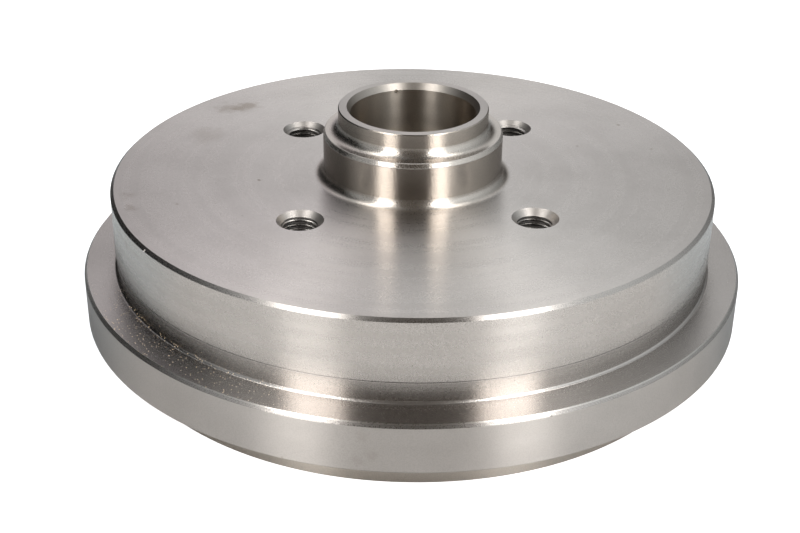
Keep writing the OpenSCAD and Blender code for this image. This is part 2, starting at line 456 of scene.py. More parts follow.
    def outline(self):
        """The whole closed outline, with a loop held close to each end of a long run."""
        corners = [
            *self.hub_outline(), *self.rim_outline(), *self.cavity_outline(), *self.bore_outline()
        ]
        points = []
        for here, after in zip(corners, corners[1:] + corners[:1]):
            start, end = Vector(here), Vector(after)
            run = (end - start).length
            points.append(start)
            if run > LONG_RUN:
                step = (end - start) / run * EDGE_LOOP
                points += [start + step, end - step]
        return points

    def in_score(self, radius, z):
        """Whether a point lies in a fine line of the flange's chamfer."""
        start = Vector((self.flange_r - self.rim.flange_chamfer_w, self.flange_top))
        along = Vector((self.rim.flange_chamfer_w, -self.rim.flange_chamfer_h)).normalized()
        return (Vector((radius, z)) - start).dot(Vector((along.y, -along.x))) > CLOSE_EDGE

    def hole_finish(self, place, radius, slope):
        """The finish of a face in a bolt hole, or None."""
        turn = math.atan2(place.y, place.x)
        pitch = math.tau / self.bolts.count
        turn_from_bolt = (turn / pitch) % 1.0 * pitch - pitch / 2
        bolt_away = math.hypot(
            radius * math.cos(turn_from_bolt) - self.circle_r,
            radius * math.sin(turn_from_bolt),
        )
        in_web = self.pad_under - EDGE < place.z < self.face_z + EDGE
        if not in_web or bolt_away >= self.mouth_r + EDGE or abs(slope) > LEVEL:
            return None
        if slope > SINK_SLOPE and place.z > self.face_z - (self.mouth_r - self.bore_r):
            return "countersunk"
        # The thread's grooves take painted shade and its crests a painted highlight
        return "tapped" if bolt_away < self.bore_r + CREST_MARGIN else "groove"

    def hub_finish(self, radius, z, slope):
        """The finish of a face in the bore, on the hub or on the wheel face, or None."""
        hub = self.hub
        if radius < self.outer_seat_r + hub.seat_lead_w and z > self.boss_end + EDGE:
            return "lead_in" if z > self.hub_top - hub.seat_lead_h else "bored"
        if z > self.hub_top - EDGE:
            return "end_faced"
        if z > self.face_z + EDGE:
            spigot_top = self.face_z + hub.spigot_h
            for edge_top in (self.shoulder_z, spigot_top):
                at_edge = edge_top - WORN_EDGE_W < z < edge_top - CLOSE_EDGE
                if at_edge and radius > self.shoulder_r - WORN_EDGE_W:
                    return "worn_edge"
            above = z - (self.shoulder_z if z > self.shoulder_z else self.face_z)
            gentlest, steepest = FILLET_SLOPES
            in_fillet = above < hub.spigot_fillet_r and gentlest < slope < steepest
            on_lead_in = self.shoulder_z > z > spigot_top
            return "blended" if in_fillet or on_lead_in else "fine"
        return "faced" if z > self.face_z - EDGE else None

    def rim_finish(self, radius, z, slope):
        """The finish of a face on the wall, the flange or the lip, or None."""
        rim = self.rim
        if radius > self.wall_r - OUTER_REACH * rim.ledge_fillet_r and slope > OUTER_SLOPE:
            if z > self.face_z - rim.face_chamfer_h:
                return "chamfered"
            seam_top = self.flange_top + rim.ledge_fillet_r
            if self.flange_top - rim.flange_chamfer_h < z < seam_top:
                if z < self.flange_top - CLOSE_EDGE:
                    # The scores on the flange's chamfer take the fine lines' painted shade
                    return "line" if self.in_score(radius, z) else "chamfered"
                return "ledge" if slope > LEVEL else "seam"
        if radius > self.wall_r and z < self.flange_top:
            # The flange's lower edge takes the fine lines' painted shade
            on_edge = rim.lip_h < z < rim.lip_h + rim.flange_edge
            if on_edge and radius > self.flange_r - rim.flange_edge:
                return "line"
            return "lip" if z < rim.lip_h and radius < self.lip_r + EDGE else "rim"
        cut_z = self.face_z - rim.cut_drop
        line_end = cut_z + CUT_LINE_RISE + CUT_LINE_HALF_WIDTH
        on_wall = self.wall_r - 2 * CUT_LINE_DEPTH < radius < self.wall_r + EDGE
        # The cut line on the wall takes the fine lines' painted shade
        if on_wall and cut_z + CLOSE_EDGE < z < line_end:
            return "line" if radius < self.wall_r - CLOSE_EDGE else "turned"
        if self.shoe_r + self.cavity.lead_in_w < radius < self.wall_r + EDGE and z < cut_z:
            return "foot"
        return None

    def cavity_finish(self, radius, z, slope):
        """The finish of any other face, most of which are inside the drum."""
        cavity = self.cavity
        if radius < self.seal_r + EDGE and z > self.boss_end + EDGE:
            return "bored"
        if radius < self.boss_end_r + cavity.boss_draft and z < self.boss_end + EDGE:
            return "turned"
        if radius < self.shoe_r + EDGE and z < self.relief_end - EDGE and slope > UNDERSIDE:
            return "cast" if radius < self.boss_root_r + cavity.boss_fillet_r else "bored"
        if radius < self.relief_r + EDGE and z < self.face_z - EDGE:
            return "cast"
        return "turned"

    def finish_at(self, place, normal):
        """The finish of a face whose middle is at place."""
        radius = math.hypot(place.x, place.y)
        return (
            self.hole_finish(place, radius, normal.z)
            or self.hub_finish(radius, place.z, normal.z)
            or self.rim_finish(radius, place.z, normal.z)
            or self.cavity_finish(radius, place.z, normal.z)
        )


# Small damage and dirt, in millimetres, with heights counted from the wheel face


DENT_DETAIL = 2
# Dents as azimuth in degrees, radius, height and the dent's own radius
DENTS = (
    (-146.4, 95.7, -0.5, 0.5), (-71.8, 106.1, -27.5, 0.35), (-154.8, 96.0, -3.6, 0.3),
    (103.5, 20.0, 19.8, 0.6),
)
# Stains and specks on the wheel face as x, y, radius and strength
FACE_SPOTS = (
    (-62.7, 55.5, 6.2, 0.9), (-55.8, 56.4, 6.0, 1.25), (-68.6, 30.9, 8.5, 0.45),
    (-86.7, -25.9, 3.0, 0.7), (-88.7, -17.3, 3.6, 0.55), (-48.9, -6.2, 0.9, 2.0),
    (-73.1, -23.4, 0.8, 1.2), (73.2, 37.4, 0.9, 1.8), (56.2, 19.2, 0.7, 1.6),
    (80.6, 16.2, 0.7, 1.6),
)
# Marks on the wall, the flange and the bore as azimuth in degrees, height, radius and strength
WALL_SPOTS = ((-154.8, -5.2, 1.5, 0.9), (-16.3, -10.5, 0.9, 1.4))
RIM_SPOTS = (
    (-99.7, -30.8, 2.4, 0.35), (-98.4, -36.4, 2.6, 0.4), (-100.4, -38.4, 2.2, 0.3),
    (-112.1, -41.5, 0.6, 1.0),
)
BORE_SPOTS = ((103.5, 19.6, 1.2, 2.0),)


def on_ring(azimuth, radius, z):
    """The point at an azimuth in degrees, a radius and a height."""
    turn = math.radians(azimuth)
    return Vector((radius * math.cos(turn), radius * math.sin(turn), z))


def dent_cutters(section):
    """Small balls that the dents are cut with."""
    work = bmesh.new()
    for azimuth, radius, height, ball in DENTS:
        centre = on_ring(azimuth, radius * MM, section.face_z + height * MM)
        bmesh.ops.create_icosphere(
            work, subdivisions=DENT_DETAIL, radius=ball * MM, matrix=Matrix.Translation(centre)
        )
    mesh = bpy.data.meshes.new("dent_cutters")
    work.to_mesh(mesh)
    work.free()
    return new_object("dent_cutters", mesh)


# Node helpers


FLOAT, VECTOR, GEOMETRY = "NodeSocketFloat", "NodeSocketVector", "NodeSocketGeometry"
SOCKET_KINDS = {
    float: FLOAT, int: "NodeSocketInt", bpy.types.Object: "NodeSocketObject",
    bpy.types.Material: "NodeSocketMaterial",
}
WHITE = (1.0, 1.0, 1.0)
# Places of the Mix node's factor, its two inputs and its result, by what it mixes
MIX_SOCKETS = {"FLOAT": (0, 2, 3, 0), "RGBA": (0, 6, 7, 2)}
# Places of the Compare node's two whole numbers
COMPARE_SOCKETS = (2, 3)


class Nodes:
    """Adds and links nodes of one tree."""

    def __init__(self, tree):
        self.tree = tree

    def add(self, kind, *inputs, named=None, **settings):
        """A node with its settings, whose inputs are values or sockets, in order or by name."""
        node = self.tree.nodes.new(kind)
        for name, value in settings.items():
            setattr(node, name, value)
        for socket, value in zip(node.inputs, inputs):
            self.feed(socket, value)
        self.feed_named(node, named or {})
        return node

    def feed_named(self, node, values):
        """Links or sets a node's inputs by name."""
        for name, value in values.items():
            self.feed(node.inputs[name], value)

    def feed(self, socket, value):
        """Links a socket, or sets its own value, where a colour comes without its alpha."""
        if isinstance(value, bpy.types.NodeSocket):
            self.tree.links.new(value, socket)
        elif value is not None:
            socket.default_value = (*value, 1.0) if socket.type == "RGBA" else value

    def math(self, kind, first, second=None, clamp=False):
        """The result of a Math node."""
        node = self.add("ShaderNodeMath", first, second, operation=kind, use_clamp=clamp)
        return node.outputs[0]

    plus = partialmethod(math, "ADD")
    minus = partialmethod(math, "SUBTRACT")
    times = partialmethod(math, "MULTIPLY")
    over = partialmethod(math, "DIVIDE")

    def most(self, first, *others):
        """The largest of some values."""
        for other in others:
            first = self.math("MAXIMUM", first, other)
        return first

    def flat_length(self, x, y):
        """The length of a level vector."""
        return self.math("SQRT", self.plus(self.times(x, x), self.times(y, y)))

    def ramp(self, value, low, high, to_low=0.0, to_high=1.0, smooth=True):
        """A clamped Map Range from one range to another."""
        node = self.add(
            "ShaderNodeMapRange", value, low, high, to_low, to_high,
            interpolation_type="SMOOTHSTEP" if smooth else "LINEAR",
        )
        return node.outputs[0]

    def mix(self, factor, first, second, kind="RGBA"):
        """A mix of two colours, or of two numbers."""
        node = self.add("ShaderNodeMix", data_type=kind)
        *places, made = MIX_SOCKETS[kind]
        for place, value in zip(places, (factor, first, second)):
            self.feed(node.inputs[place], value)
        return node.outputs[made]

    def vector(self, x, y, z):
        """A vector from its parts."""
        return self.add("ShaderNodeCombineXYZ", x, y, z).outputs[0]

    def parts(self, vector):
        """The parts of a vector."""
        return self.add("ShaderNodeSeparateXYZ", vector).outputs

    def place(self):
        """The shaded point in its object's own coordinates."""
        return self.add("ShaderNodeTexCoord").outputs["Object"]

    def noise(self, vector, scale, detail, w=None):
        """The value of a noise, which has a fourth dimension where w is given."""
        named = {"Vector": vector, "Scale": scale, "Detail": detail}
        kind = "3D"
        if w is not None:
            named["W"] = w
            kind = "4D"
        return self.add("ShaderNodeTexNoise", named=named, noise_dimensions=kind).outputs[0]

    def cells(self, spacing):
        """Cells about scattered points: how far the point is, and two chances for each."""
        named = {"Vector": self.place(), "Scale": self.over(1.0, spacing)}
        node = self.add("ShaderNodeTexVoronoi", named=named, feature="F1")
        chance, other, _ = self.add("ShaderNodeSeparateColor", node.outputs["Color"]).outputs
        return node.outputs["Distance"], chance, other

    def group(self, tree, values):
        """The outputs of a node group with its inputs set by name."""
        return self.add("ShaderNodeGroup", node_tree=tree, named=values).outputs

    def bump(self, height, distance):
        """The normal of a bump, whose height of one is as high as distance."""
        named = {"Strength": 1.0, "Distance": distance, "Height": height}
        return self.add("ShaderNodeBump", named=named).outputs["Normal"]


def new_tree(name, kind, inputs, outputs):
    """The nodes of a tree with named sockets, its given inputs and the sockets of its result."""
    tree = bpy.data.node_groups.new(name, kind)
    for in_out, sockets in (("INPUT", inputs), ("OUTPUT", outputs)):
        for label, socket_type in sockets.items():
            tree.interface.new_socket(label, in_out=in_out, socket_type=socket_type)
    n = Nodes(tree)
    return n, n.add("NodeGroupInput").outputs, n.add("NodeGroupOutput").inputs


def set_inputs(modifier, values):
    """Sets a Geometry Nodes modifier's inputs, found by name, through their identifiers."""
    for item in modifier.node_group.interface.items_tree:
        if item.in_out == "INPUT" and item.name in values:
            modifier[item.identifier] = values[item.name]


def new_object(name, data):
    """A new object, linked to the scene."""
    piece = bpy.data.objects.new(name, data)
    bpy.context.scene.collection.objects.link(piece)
    return piece


def new_material(name):
    """A new material, and its nodes."""
    material = bpy.data.materials.new(name)
    material.use_nodes = True
    return material, Nodes(material.node_tree)


# The turned drum


TURNING_STEPS = 432
PATH_RADIUS = 0.06
MOUTH_STEPS = 96
SINK_OVER = 1.0 * MM
# The thread's facets in one turn, rows in one pitch, and pitches past each end of the hole
THREAD_STEPS = 64
THREAD_ROWS = 8
THREAD_OVER = 2
# Shares of half a pitch at which the thread's root ends and its crest starts
THREAD_FLANK = (0.125, 0.75)
SHARP_ANGLE = math.radians(13)
WELD = 1e-6
FINE_WELD = 0.2 * WELD


def turned_section(n, given):
    """The section carried round a circle."""
    shift = n.vector(n.times(given["Path radius"], -1.0), 0.0, 0.0)
    moved = n.add("GeometryNodeTransform", given["Section"], named={"Translation": shift})
    profile = n.add("GeometryNodeMeshToCurve", moved.outputs[0])
    path = n.add(
        "GeometryNodeCurvePrimitiveCircle", mode="RADIUS",
        named={"Resolution": given["Turning steps"], "Radius": given["Path radius"]},
    )
    upright = n.add("GeometryNodeSetCurveNormal", path.outputs["Curve"], mode="Z_UP")
    turned = n.add(
        "GeometryNodeCurveToMesh", upright.outputs[0], named={"Profile Curve": profile.outputs[0]}
    )
    return turned.outputs[0]


def thread_tool(n, given):
    """A tapped hole's cutter: a sheet whose rows follow the helix, closed at both ends."""
    rows = n.plus(n.times(given["Turns"], float(THREAD_ROWS)), 1.0)
    sheet = n.add("GeometryNodeMeshGrid", 1.0, 1.0, THREAD_STEPS + 1, rows)
    on_sheet = n.parts(n.add("GeometryNodeInputPosition").outputs[0])
    around = n.plus(on_sheet["X"], 0.5)
    along = n.times(n.plus(on_sheet["Y"], 0.5), given["Turns"])
    phase = n.math("FRACT", n.plus(along, 0.5 / THREAD_ROWS / THREAD_STEPS))
    valley = n.math("ABSOLUTE", n.minus(n.times(phase, 2.0), 1.0))
    flank_radius = n.ramp(
        valley, *THREAD_FLANK, given["Major radius"], given["Minor radius"], smooth=False
    )
    turn = n.times(around, math.tau)
    climb = n.times(n.plus(along, around), given["Pitch"])
    helix = n.vector(
        n.times(flank_radius, n.math("COSINE", turn)),
        n.times(flank_radius, n.math("SINE", turn)),
        n.plus(climb, given["Thread bottom"]),
    )
    wound = n.add("GeometryNodeSetPosition", sheet.outputs["Mesh"], None, helix)
    tube = n.add("GeometryNodeMergeByDistance", wound.outputs[0], None, WELD)

    # Each open end is drawn in to a point on the hole's axis
    faces_beside = n.add("GeometryNodeInputMeshEdgeNeighbors").outputs["Face Count"]
    end = n.add("FunctionNodeCompare", data_type="INT", operation="EQUAL")
    for place, value in zip(COMPARE_SOCKETS, (faces_beside, 1)):
        n.feed(end.inputs[place], value)
    collar = n.add(
        "GeometryNodeExtrudeMesh", tube.outputs[0], end.outputs[0], mode="EDGES",
        named={"Offset Scale": 0.0},
    )
    height = n.parts(n.add("GeometryNodeInputPosition").outputs[0])["Z"]
    half_rise = n.times(given["Pitch"], n.times(given["Turns"], 0.5))
    is_top = n.math("GREATER_THAN", height, n.plus(given["Thread bottom"], half_rise))
    rise = n.times(n.plus(given["Turns"], 1.0), given["Pitch"])
    tip = n.vector(0.0, 0.0, n.plus(given["Thread bottom"], n.times(rise, is_top)))
    closed = n.add("GeometryNodeSetPosition", collar.outputs["Mesh"], collar.outputs["Top"], tip)
    return n.add("GeometryNodeMergeByDistance", closed.outputs[0], None, WELD).outputs[0]


def sink_tool(n, given):
    """A countersink's cutter, a cone that runs past the wheel face."""
    depth = n.plus(given["Mouth depth"], given["Cut over"])
    slope = n.over(n.minus(given["Mouth radius"], given["Minor radius"]), given["Mouth depth"])
    wide = n.plus(given["Mouth radius"], n.times(given["Cut over"], slope))
    cone = n.add(
        "GeometryNodeMeshCone", MOUTH_STEPS,
        named={"Radius Top": wide, "Radius Bottom": given["Minor radius"], "Depth": depth},
    )
    low = n.vector(0.0, 0.0, n.minus(given["Face height"], given["Mouth depth"]))
    sink = n.add("GeometryNodeTransform", cone.outputs["Mesh"], named={"Translation": low})
    return sink.outputs[0]


def turned_drum_tree(values):
    """Turns a section about the z axis, then cuts the holes and dents that values tell of."""
    kinds = {name: SOCKET_KINDS[type(value)] for name, value in values.items()}
    n, given, result = new_tree(
        "Turned drum", "GeometryNodeTree", {"Section": GEOMETRY, **kinds}, {"Drum": GEOMETRY}
    )
    holes = n.add(
        "GeometryNodeMeshCircle", fill_type="NONE",
        named={"Vertices": given["Hole count"], "Radius": given["Hole circle radius"]},
    )
    start = n.vector(0.0, 0.0, given["Hole start angle"])
    placed = n.add("GeometryNodeTransform", holes.outputs[0], named={"Rotation": start})
    index = n.add("GeometryNodeInputIndex").outputs[0]
    part_turn = n.over(n.times(index, math.tau), given["Hole count"])
    spin = n.vector(0.0, 0.0, n.plus(given["Hole start angle"], part_turn))
    facing = n.add("FunctionNodeEulerToRotation", spin).outputs[0]
    cut = n.add(
        "GeometryNodeMeshBoolean", operation="DIFFERENCE", solver="MANIFOLD",
        named={"Mesh 1": turned_section(n, given)},
    )
    for tool in (thread_tool(n, given), sink_tool(n, given)):
        copies = n.add(
            "GeometryNodeInstanceOnPoints", placed.outputs[0],
            named={"Instance": tool, "Rotation": facing},
        )
        solid = n.add("GeometryNodeRealizeInstances", copies.outputs[0])
        n.feed(cut.inputs["Mesh 2"], solid.outputs[0])
    balls = n.add("GeometryNodeObjectInfo", given["Dents"]).outputs["Geometry"]
    n.feed(cut.inputs["Mesh 2"], balls)

    smooth = n.add("GeometryNodeSetShadeSmooth", cut.outputs["Mesh"])
    real = n.add("GeometryNodeRealizeInstances", smooth.outputs[0])
    dressed = n.add(
        "GeometryNodeSetMaterial", real.outputs[0], named={"Material": given["Finish"]}
    )
    n.feed(result[0], dressed.outputs[0])
    return n.tree


def section_object(section):
    """The closed outline as a mesh of edges, with radius along x and height along minus y."""
    points = section.outline()
    count = len(points)
    mesh = bpy.data.meshes.new("drum_section")
    mesh.from_pydata(
        [(p.x, -p.y, 0.0) for p in points], [(i, (i + 1) % count) for i in range(count)], []
    )
    return new_object("drum_section", mesh)


def plain_mesh(piece, name):
    """A new object with the evaluated mesh of piece, which is removed."""
    graph = bpy.context.evaluated_depsgraph_get()
    mesh = bpy.data.meshes.new_from_object(piece.evaluated_get(graph))
    bpy.data.objects.remove(piece)
    mesh.name = name
    return new_object(name, mesh)


def clean_surface(mesh):
    """Welds doubles, turns normals outwards, marks sharp edges and counts the open ones."""
    work = bmesh.new()
    work.from_mesh(mesh)
    bmesh.ops.remove_doubles(work, verts=work.verts, dist=FINE_WELD)
    bmesh.ops.dissolve_degenerate(work, edges=work.edges, dist=FINE_WELD)
    bmesh.ops.recalc_face_normals(work, faces=work.faces)
    open_edges = sum(1 for edge in work.edges if len(edge.link_faces) != 2)
    for face in work.faces:
        face.smooth = True
    work.to_mesh(mesh)
    work.free()
    mesh.set_sharp_from_angle(angle=SHARP_ANGLE)
    return open_edges


class DRUM_OT_make_drum(bpy.types.Operator):
    """Turns the drum from its section, cuts its bolt holes and gives it its finishes"""

    bl_idname = "drum.make_drum"
    bl_label = "Make the drum"

    def execute(self, context):
        scene = context.scene
        cavity, bolts = scene.drum_cavity, scene.drum_bolts
        section = Section(scene.drum_rim, scene.drum_hub, cavity, bolts)
        finishes = drum_finishes(scene.drum_finish, section)
        blank = section_object(section)
        reach = cavity.pad_t + THREAD_OVER * bolts.pitch
        cutters = dent_cutters(section)
        values = {
            "Turning steps": TURNING_STEPS,
            "Path radius": PATH_RADIUS,
            "Face height": section.face_z,
            "Hole count": bolts.count,
            "Hole circle radius": section.circle_r,
            "Hole start angle": math.pi / bolts.count,
            "Minor radius": section.bore_r,
            "Major radius": section.thread_r,
            "Pitch": bolts.pitch,
            "Turns": math.ceil(reach / bolts.pitch) + THREAD_OVER,
            "Thread bottom": section.pad_under - (THREAD_OVER + 0.5) * bolts.pitch,
            "Mouth radius": section.mouth_r,
            "Mouth depth": section.mouth_r - section.bore_r,
            "Cut over": SINK_OVER,
            "Dents": cutters,
            "Finish": finishes[0],
        }
        modifier = blank.modifiers.new("Turned drum", "NODES")
        modifier.node_group = turned_drum_tree(values)
        set_inputs(modifier, values)
        drum = plain_mesh(blank, "brake_drum_body")
        bpy.data.objects.remove(cutters)
        open_edges = clean_surface(drum.data)
        if open_edges:
            raise RuntimeError(f"the drum's surface has {open_edges} open edges")
        drum.data.materials.clear()
        for material in finishes:
            drum.data.materials.append(material)
        for face in drum.data.polygons:
            face.material_index = FINISH_KEYS.index(section.finish_at(face.center, face.normal))
        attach(drum, BODY)
        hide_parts(CAD_NODE)
        return {"FINISHED"}


# Finishes


# Tool marks: their wander round the axis, the fine and the broad noise, and the broad bands
MARK_WANDER = 0.35
FINE_SCALE, FINE_DETAIL = 1.0, 2.0
BROAD_SCALE, BROAD_DETAIL = 0.16, 1.0
BAND_RANGE = (0.3, 0.7)
BAND_ROUGHNESS = 0.03
# Grain of the iron: a fine mottle, a broad cloud, and the pores with their soft edges
GRAIN = 0.35 * MM
MOTTLE_DETAIL = 2.0
MOTTLE_RANGE = (0.35, 0.7)
MOTTLE_ROUGHNESS = 0.2
SPECKLE_SCALE = 0.75
CLOUD_SCALE, CLOUD_DETAIL = 55.0, 3.0
CLOUD_RANGE = (0.35, 0.75)
CLOUD_DULLS = 0.35
PORE_SPACING = 2.2 * MM
PORE_SHARE = 0.015
PORE_EDGE = (0.05, 0.14)
PORE_DARKENS = 0.4
# Heights of the fine relief, in millimetres
MARK_HEIGHT = 0.004
SPECKLE_HEIGHT = 0.016
PORE_DEPTH = 0.008
# Spots: their ragged edge and how far they stain
RAGGED_SCALE, RAGGED_DETAIL = 1.3, 3.0
RAGGED_REACH = 1.8
SPOT_EDGE = (0.1, 1.0)
SPOT_STAINS = 0.5
# Dust: its specks, which lie mostly on the front left of the drum
DUST_SPACING = 0.7 * MM
DUST_REACH = (0.14, 0.34)
DUST_EDGE = (0.0, 0.5)
DUST_LEFT = (-0.02, -0.07)
DUST_FRONT = (-0.015, -0.045)
DUST_ELSEWHERE = 0.02
DUST_ROUGHNESS = 0.8
# The casting skin
SKIN_METALLIC = 0.85
SKIN_GRAIN = 0.9 * MM
SKIN_PORE_SPACING = 1.6 * MM
SKIN_PORE_SHARE = 0.3
SKIN_RANGE = (0.3, 0.7)
SKIN_ROUGHEST = 0.8
SKIN_PORE_DEPTH = 0.8
SKIN_RELIEF = 0.25 * MM
# Quarter turn that lays the highlights across the tool marks
ACROSS_MARKS = 0.25


def turning_marks_group():
    """Fine rings left by the tool, followed round the axis, as a height and a mask."""
    n, given, result = new_tree(
        "Turning marks", "ShaderNodeTree",
        {"Feed": FLOAT, "Wander": FLOAT}, {"Height": FLOAT, "Bands": FLOAT},
    )
    x, y, z = n.parts(n.place())
    radius = n.flat_length(x, y)
    turn_x = n.times(n.over(x, radius), given["Wander"])
    turn_y = n.times(n.over(y, radius), given["Wander"])
    across = n.vector(n.over(radius, given["Feed"]), n.over(z, given["Feed"]), turn_x)
    n.feed(result["Height"], n.noise(across, FINE_SCALE, FINE_DETAIL, turn_y))
    broad = n.noise(across, BROAD_SCALE, BROAD_DETAIL, turn_y)
    n.feed(result["Bands"], n.ramp(broad, *BAND_RANGE))
    return n.tree


def iron_grain_group():
    """The iron's own grain, with small dark pores, as masks and a height."""
    n, given, result = new_tree(
        "Iron grain", "ShaderNodeTree",
        {"Grain": FLOAT, "Pore spacing": FLOAT, "Pore share": FLOAT},
        {"Mottle": FLOAT, "Cloud": FLOAT, "Pores": FLOAT, "Speckle": FLOAT},
    )
    place = n.place()
    away, chance, _ = n.cells(given["Pore spacing"])
    chosen = n.math("LESS_THAN", chance, given["Pore share"])
    close = n.ramp(away, *PORE_EDGE, 1.0, 0.0)
    mottle = n.noise(place, n.over(1.0, given["Grain"]), MOTTLE_DETAIL)
    speckle = n.noise(place, n.over(SPECKLE_SCALE, given["Grain"]), 0.0)
    n.feed(result["Mottle"], mottle)
    n.feed(result["Cloud"], n.noise(place, CLOUD_SCALE, CLOUD_DETAIL))
    n.feed(result["Pores"], n.times(chosen, close))
    n.feed(result["Speckle"], speckle)
    return n.tree


def spot_group():
    """A soft, uneven spot about a centre, as a mask."""
    n, given, result = new_tree(
        "Spot", "ShaderNodeTree", {"Centre": VECTOR, "Radius": FLOAT}, {"Mask": FLOAT}
    )
    place = n.place()
    away = n.add("ShaderNodeVectorMath", place, given["Centre"], operation="DISTANCE")
    ragged = n.noise(place, n.over(RAGGED_SCALE, given["Radius"]), RAGGED_DETAIL)
    uneven = n.times(n.minus(ragged, 0.5), RAGGED_REACH)
    reach = n.plus(n.over(away.outputs["Value"], given["Radius"]), uneven)
    n.feed(result["Mask"], n.ramp(reach, *SPOT_EDGE, 1.0, 0.0))
    return n.tree


def dust_group():
    """Scattered specks of dust as a mask."""
    n, given, result = new_tree(
        "Dust", "ShaderNodeTree", {"Spacing": FLOAT, "Share": FLOAT}, {"Mask": FLOAT}
    )
    away, chance, width = n.cells(given["Spacing"])
    chosen = n.math("LESS_THAN", chance, given["Share"])
    reach = n.ramp(width, 0.0, 1.0, *DUST_REACH, smooth=False)
    close = n.minus(1.0, n.over(away, reach), clamp=True)
    across, along, _ = n.parts(n.place())
    side = n.times(n.ramp(across, *DUST_LEFT), n.ramp(along, *DUST_FRONT))
    speck = n.times(chosen, n.ramp(close, *DUST_EDGE))
    n.feed(result["Mask"], n.times(speck, n.most(side, DUST_ELSEWHERE)))
    return n.tree


def spots_mask(n, group, spots):
    """The sum of all spots, each a centre, a radius and a strength."""
    total = None
    for centre, radius, strength in spots:
        mask = n.group(group, {"Centre": centre, "Radius": radius})["Mask"]
        mask = n.times(mask, strength)
        total = mask if total is None else n.plus(total, mask)
    return total


def iron_material(surface, roughness, finish, groups, spots=()):
    """Bare iron with tool marks, whose highlights stretch across the marks."""
    material, n = new_material(surface.name)
    marks = n.group(groups["marks"], {"Feed": finish.feed, "Wander": MARK_WANDER})
    grain = n.group(
        groups["grain"],
        {"Grain": GRAIN, "Pore spacing": PORE_SPACING, "Pore share": PORE_SHARE},
    )
    cloud_dulls = n.times(n.ramp(grain["Cloud"], *CLOUD_RANGE), CLOUD_DULLS)
    mottle_dulls = n.times(n.ramp(grain["Mottle"], *MOTTLE_RANGE), surface.mottle)
    cast_over = Vector(WHITE).lerp(Vector(finish.warm), surface.warmth)
    # Each finish's shade scales its colours: for the fine lines, the thread's grooves and the rim
    # this is painted shade, and for the thread's crests a painted highlight
    iron, worn = (
        [part * over * surface.shade for part, over in zip(base, cast_over)]
        for base in (finish.iron, finish.worn)
    )
    tint = n.mix(n.plus(cloud_dulls, mottle_dulls, clamp=True), iron, worn)
    tint = n.mix(n.times(grain["Pores"], PORE_DARKENS), tint, finish.pore)
    if spots:
        stained = n.times(spots_mask(n, groups["spot"], spots), SPOT_STAINS, clamp=True)
        tint = n.mix(stained, tint, finish.stain)
    mottle_change = n.times(n.minus(grain["Mottle"], 0.5), surface.mottle * MOTTLE_ROUGHNESS)
    rough = n.plus(n.plus(roughness, n.times(marks["Bands"], BAND_ROUGHNESS)), mottle_change)
    metallic = 1.0
    if surface.dust:
        dust = n.group(groups["dust"], {"Spacing": DUST_SPACING, "Share": surface.dust})["Mask"]
        tint = n.mix(dust, tint, finish.dust)
        rough = n.mix(dust, rough, DUST_ROUGHNESS, kind="FLOAT")
        metallic = n.minus(1.0, dust)
    relief = n.plus(
        n.times(marks["Height"], surface.marks * MARK_HEIGHT),
        n.times(grain["Speckle"], surface.speckle * SPECKLE_HEIGHT),
    )
    relief = n.minus(relief, n.times(grain["Pores"], PORE_DEPTH))
    n.feed_named(n.tree.nodes["Principled BSDF"], {
        "Base Color": tint,
        "Metallic": metallic,
        "Roughness": rough,
        "Normal": n.bump(relief, MM),
        "Specular Tint": [surface.edge_tint] * 3,
        "Anisotropic": surface.anisotropy,
        "Anisotropic Rotation": ACROSS_MARKS,
        "Tangent": n.add("ShaderNodeTangent", direction_type="RADIAL", axis="Z").outputs[0],
    })
    return material


def cast_material(surface, roughness, finish, groups):
    """Rough casting skin, dark and grainy."""
    material, n = new_material(surface.name)
    grain = n.group(
        groups["grain"],
        {
            "Grain": SKIN_GRAIN, "Pore spacing": SKIN_PORE_SPACING,
            "Pore share": SKIN_PORE_SHARE,
        },
    )
    relief = n.minus(grain["Mottle"], n.times(grain["Pores"], SKIN_PORE_DEPTH))
    n.feed_named(n.tree.nodes["Principled BSDF"], {
        "Base Color": n.mix(n.ramp(grain["Cloud"], *SKIN_RANGE), finish.skin, finish.dark_skin),
        "Metallic": SKIN_METALLIC,
        "Roughness": n.ramp(grain["Mottle"], *SKIN_RANGE, roughness, SKIN_ROUGHEST),
        "Normal": n.bump(relief, SKIN_RELIEF),
    })
    return material


def ring_spots(spots, ring, face_z):
    """The centres, radii and strengths of spots on a round surface."""
    return [
        (on_ring(azimuth, ring, face_z + height * MM), radius * MM, strength)
        for azimuth, height, radius, strength in spots
    ]


def drum_finishes(finish, section):
    """The drum's materials, in the order of its slots."""
    groups = {
        "marks": turning_marks_group(), "grain": iron_grain_group(), "spot": spot_group(),
        "dust": dust_group(),
    }
    spots = {
        "faced": [
            (Vector((x * MM, y * MM, section.face_z)), radius * MM, strength)
            for x, y, radius, strength in FACE_SPOTS
        ],
        "turned": ring_spots(WALL_SPOTS, section.wall_r, section.face_z),
        "rim": ring_spots(RIM_SPOTS, section.flange_r, section.face_z),
        "bored": ring_spots(BORE_SPOTS, section.outer_seat_r, section.face_z),
    }
    materials = []
    for key, surface in SURFACES.items():
        roughness = getattr(finish, f"{key}_roughness")
        if key == "cast":
            materials.append(cast_material(surface, roughness, finish, groups))
        else:
            spots_here = spots.get(key, ())
            materials.append(iron_material(surface, roughness, finish, groups, spots_here))
    return materials


# Studio


SENSOR_WIDTH = 36.0
CLIP_RANGE = (0.01, 50.0)
# How brightly the floor glows white of itself to the camera, and in reflections and glass
CAMERA_GLOW = 0.9
MIRROR_GLOW = 0.0
